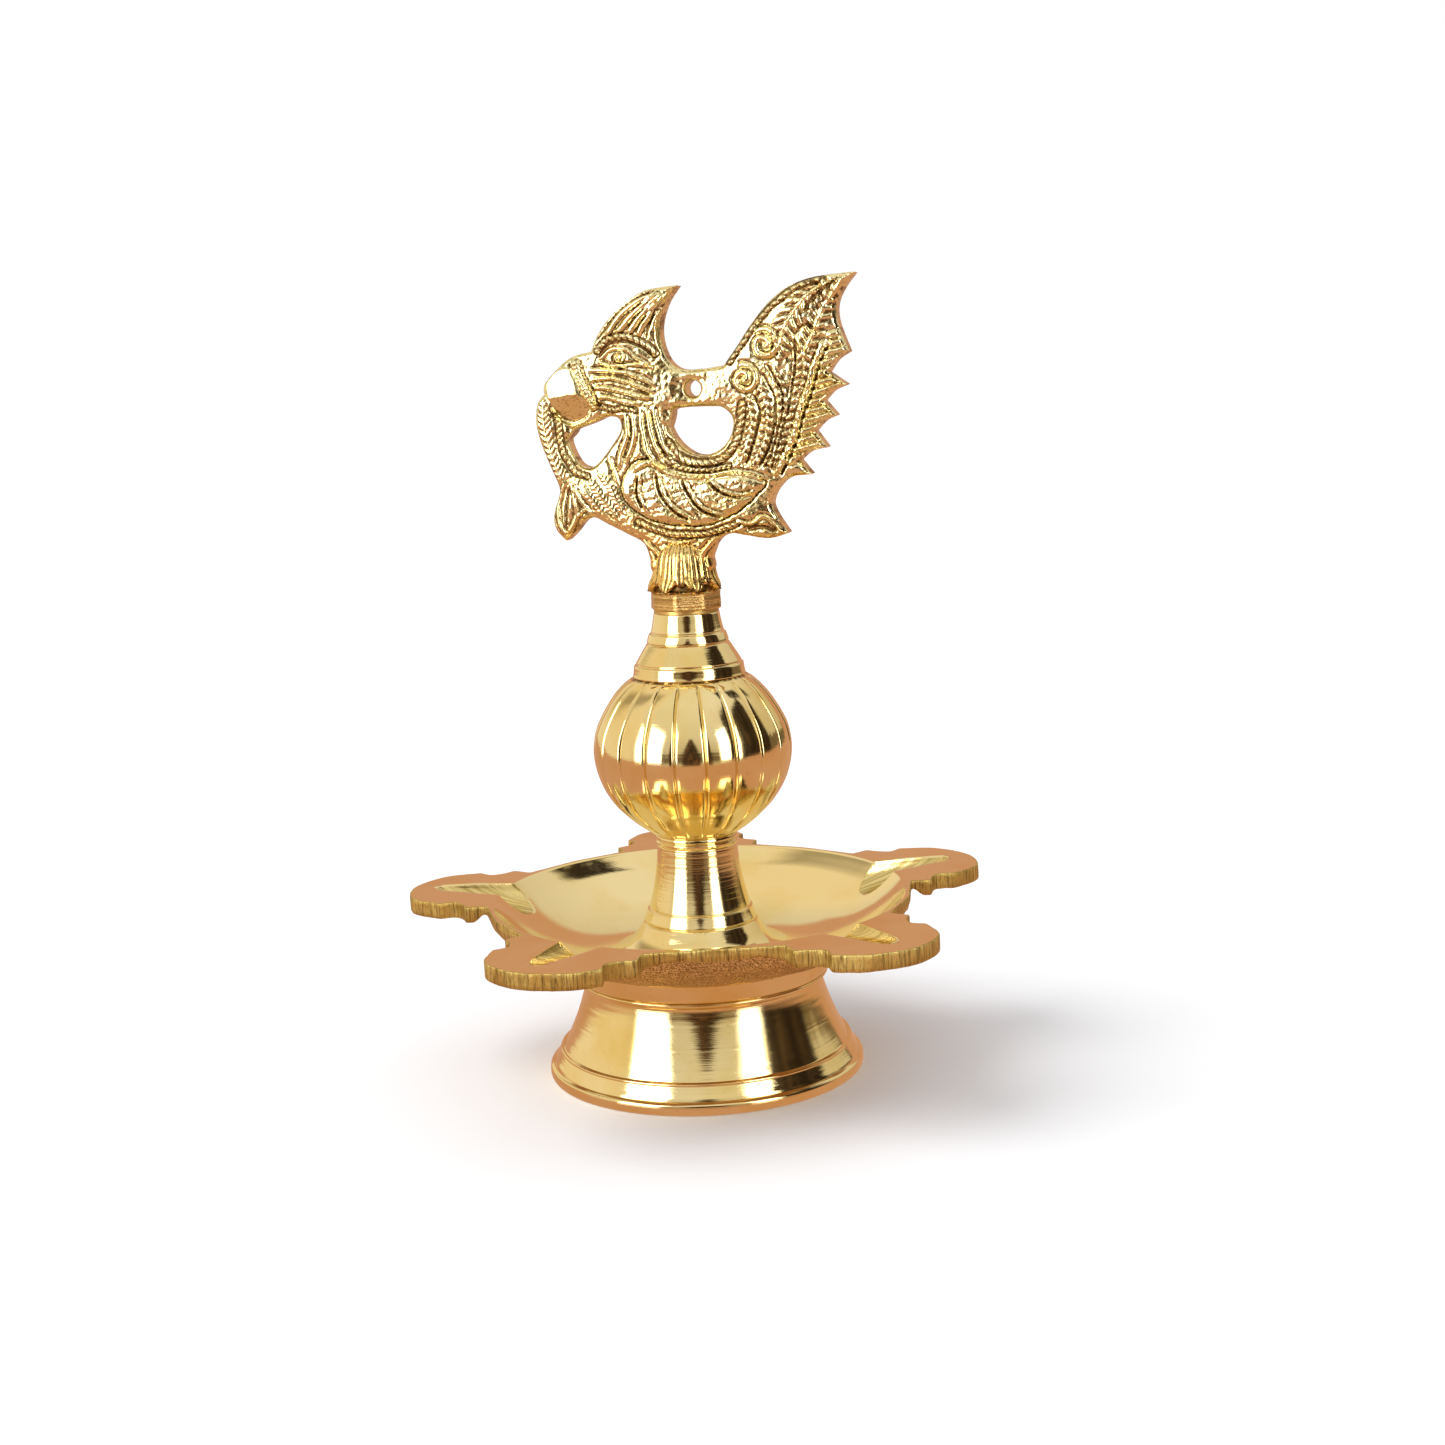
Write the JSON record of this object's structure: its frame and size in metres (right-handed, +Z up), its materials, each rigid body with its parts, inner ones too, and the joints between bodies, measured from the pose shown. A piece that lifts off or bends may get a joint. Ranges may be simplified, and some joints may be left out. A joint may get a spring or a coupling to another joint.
{
  "type": "standing oil lamp",
  "caption": "Brass standing oil lamp: turned foot, spouted oil bowl with wick channels, trumpet stem, hollow fluted ball and neck, unscrewing cast bird finial.",
  "frame": {"origin": "centre of the foot, on the surface the lamp stands on", "axes": "+Z up along the lamp's axis; -Y is the front, the middle of the gap between two spouts; +X to the right seen from the front"},
  "size_m": [0.151, 0.1457, 0.2],
  "materials": {
    "turned_brass": "lathe-turned and polished",
    "bowl_brass": "polished top, filed edges, sand-cast underside",
    "cast_brass": "cast relief, polished ridges and dark recesses",
    "plain_brass": "machined, unpolished",
    "fibre": "oiled hide washer"
  },
  "bodies": {
    "base": {"foot": "turned_brass", "foot_washer": "plain_brass", "foot_nut": "plain_brass", "foot_stud": "plain_brass", "bowl": "bowl_brass"},
    "seal": {"seal_washer": "fibre"},
    "column": {"stem": "turned_brass", "ball_collar": "turned_brass", "ball": "turned_brass", "tie_rod": "plain_brass", "neck": "turned_brass"},
    "finial_seat": {"finial_washer": "plain_brass"},
    "finial": {"finial": "cast_brass"}
  },
  "joints": [
    {"name": "column_rise", "type": "slide", "parent": "base", "child": "seal", "axis": [0, 0, 1], "range_m": [0, 0.0076]},
    {"name": "column_turn", "type": "hinge", "parent": "seal", "child": "column", "pos_m": [0, 0, 0.0315], "axis": [0, 0, 1], "range_deg": [0, 1710]},
    {"name": "finial_rise", "type": "slide", "parent": "column", "child": "finial_seat", "axis": [0, 0, 1], "range_m": [0, 0.0068]},
    {"name": "finial_turn", "type": "hinge", "parent": "finial_seat", "child": "finial", "pos_m": [0, 0, 0.1194], "axis": [0, 0, 1], "range_deg": [0, 1530]}
  ],
  "couplings": [
    {"joint": "column_rise", "follows": "column_turn", "m_per_rad": 0.0002546},
    {"joint": "finial_rise", "follows": "finial_turn", "m_per_rad": 0.0002546}
  ]
}
